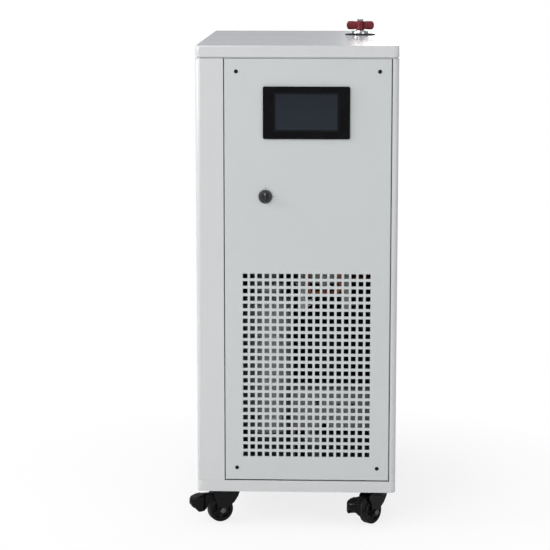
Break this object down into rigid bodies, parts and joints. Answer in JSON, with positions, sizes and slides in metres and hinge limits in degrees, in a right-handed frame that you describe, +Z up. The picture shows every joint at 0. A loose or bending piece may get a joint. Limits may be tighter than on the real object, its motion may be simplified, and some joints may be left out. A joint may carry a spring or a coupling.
{
  "type": "temperature control unit",
  "caption": "Heating and cooling circulator in a tall sheet-steel cabinet on braked casters, with a touch screen, rotary main switch, grille and a filling valve on top.",
  "frame": {"origin": "middle of the bounding box, on the floor", "axes": "+Z up, the front with the screen and the grille faces -Y, +X is to the right of a viewer in front"},
  "size_m": [0.5206, 0.8148, 1.261],
  "materials": {
    "cabinet_paint": "satin",
    "galvanised_steel": "satin",
    "stainless_steel": "satin",
    "chrome_plate": "gloss",
    "aluminium_fins": "satin",
    "copper_tube": "satin",
    "black_plastic": "satin",
    "dark_plastic": "satin",
    "light_plastic": "satin",
    "screen_glass": "gloss",
    "black_enamel": "satin",
    "motor_paint": "satin",
    "red_coating": "satin",
    "black_rubber": "matte",
    "wheel_tyre": "matte"
  },
  "bodies": {
    "cabinet": {"base_tray": "cabinet_paint", "left_side_panel": "cabinet_paint", "right_side_panel": "cabinet_paint", "front_frame": "cabinet_paint", "rear_panel": "cabinet_paint", "top_cover": "cabinet_paint", "front_panel": "cabinet_paint", "front_panel_screws": "black_enamel", "touchscreen_bezel": "black_plastic", "touchscreen_glass": "screen_glass", "touchscreen_housing": "dark_plastic", "switch_collar": "dark_plastic", "switch_body": "black_plastic", "equipment_shelf": "galvanised_steel", "control_plate": "galvanised_steel", "contactors": "light_plastic", "circuit_breaker": "light_plastic", "compressor_stand": "cabinet_paint", "compressor": "black_enamel", "compressor_mounts": "black_rubber", "support_bracket": "cabinet_paint", "condenser_coil": "aluminium_fins", "fan_shroud": "galvanised_steel", "fan_motor": "black_enamel", "circulation_vessel": "stainless_steel", "heater_head": "stainless_steel", "plate_heat_exchanger": "stainless_steel", "pump_head": "stainless_steel", "pump_motor": "motor_paint", "expansion_tank": "stainless_steel", "refrigerant_pipes": "copper_tube", "fluid_pipes": "stainless_steel", "filter_drier": "copper_tube", "filler_riser": "stainless_steel", "valve_body": "chrome_plate", "cover_grommet": "black_rubber", "circulation_ports": "stainless_steel", "drain_port": "stainless_steel", "cable_gland": "black_plastic", "caster_plates": "galvanised_steel", "caster_bolts": "galvanised_steel"},
    "switch": {"switch_knob": "black_plastic"},
    "fan": {"fan_rotor": "black_enamel"},
    "valve": {"valve_stem": "chrome_plate", "valve_handle": "red_coating", "handle_nut": "chrome_plate"},
    "swivel_front_left": {"fork_front_left": "black_enamel", "axle_front_left": "galvanised_steel"},
    "wheel_front_left": {"wheel_front_left": "wheel_tyre"},
    "swivel_front_right": {"fork_front_right": "black_enamel", "axle_front_right": "galvanised_steel"},
    "wheel_front_right": {"wheel_front_right": "wheel_tyre"},
    "swivel_rear_left": {"fork_rear_left": "black_enamel", "axle_rear_left": "galvanised_steel"},
    "wheel_rear_left": {"wheel_rear_left": "wheel_tyre"},
    "swivel_rear_right": {"fork_rear_right": "black_enamel", "axle_rear_right": "galvanised_steel"},
    "wheel_rear_right": {"wheel_rear_right": "wheel_tyre"},
    "pedal_front_left": {"pedal_front_left": "black_plastic"},
    "pedal_front_right": {"pedal_front_right": "black_plastic"}
  },
  "joints": [
    {"name": "switch_turn", "type": "hinge", "parent": "cabinet", "child": "switch", "pos_m": [-0.06715, -0.38762, 0.8465], "axis": [0, 1, 0], "range_deg": [0, 90]},
    {"name": "valve_turn", "type": "hinge", "parent": "cabinet", "child": "valve", "pos_m": [0.16735, 0.14238, 1.24], "axis": [0, 0, 1], "range_deg": [0, 90]},
    {"name": "fan_spin", "type": "hinge", "parent": "cabinet", "child": "fan", "pos_m": [0.01035, 0.25738, 0.355], "axis": [0, 1, 0], "continuous": true},
    {"name": "swivel_turn_front_left", "type": "hinge", "parent": "cabinet", "child": "swivel_front_left", "pos_m": [-0.16965, -0.32762, 0.08], "axis": [0, 0, 1], "continuous": true},
    {"name": "wheel_roll_front_left", "type": "hinge", "parent": "swivel_front_left", "child": "wheel_front_left", "pos_m": [-0.18597, -0.33523, 0.032], "axis": [0.4226, -0.9063, 0], "continuous": true},
    {"name": "brake_press_front_left", "type": "hinge", "parent": "swivel_front_left", "child": "pedal_front_left", "pos_m": [-0.20047, -0.34199, 0.0717], "axis": [0.4226, -0.9063, 0], "range_deg": [0, 12]},
    {"name": "swivel_turn_front_right", "type": "hinge", "parent": "cabinet", "child": "swivel_front_right", "pos_m": [0.21035, -0.32762, 0.08], "axis": [0, 0, 1], "continuous": true},
    {"name": "wheel_roll_front_right", "type": "hinge", "parent": "swivel_front_right", "child": "wheel_front_right", "pos_m": [0.19878, -0.34141, 0.032], "axis": [0.766, -0.6428, 0], "continuous": true},
    {"name": "brake_press_front_right", "type": "hinge", "parent": "swivel_front_right", "child": "pedal_front_right", "pos_m": [0.18849, -0.35367, 0.0717], "axis": [0.766, -0.6428, 0], "range_deg": [0, 12]},
    {"name": "swivel_turn_rear_left", "type": "hinge", "parent": "cabinet", "child": "swivel_rear_left", "pos_m": [-0.16965, 0.30238, 0.08], "axis": [0, 0, 1], "continuous": true},
    {"name": "wheel_roll_rear_left", "type": "hinge", "parent": "swivel_rear_left", "child": "wheel_rear_left", "pos_m": [-0.17431, 0.28499, 0.032], "axis": [0.9659, -0.2588, 0], "continuous": true},
    {"name": "swivel_turn_rear_right", "type": "hinge", "parent": "cabinet", "child": "swivel_rear_right", "pos_m": [0.21035, 0.30238, 0.08], "axis": [0, 0, 1], "continuous": true},
    {"name": "wheel_roll_rear_right", "type": "hinge", "parent": "swivel_rear_right", "child": "wheel_rear_right", "pos_m": [0.21347, 0.28465, 0.032], "axis": [0.9848, 0.1736, 0], "continuous": true}
  ]
}
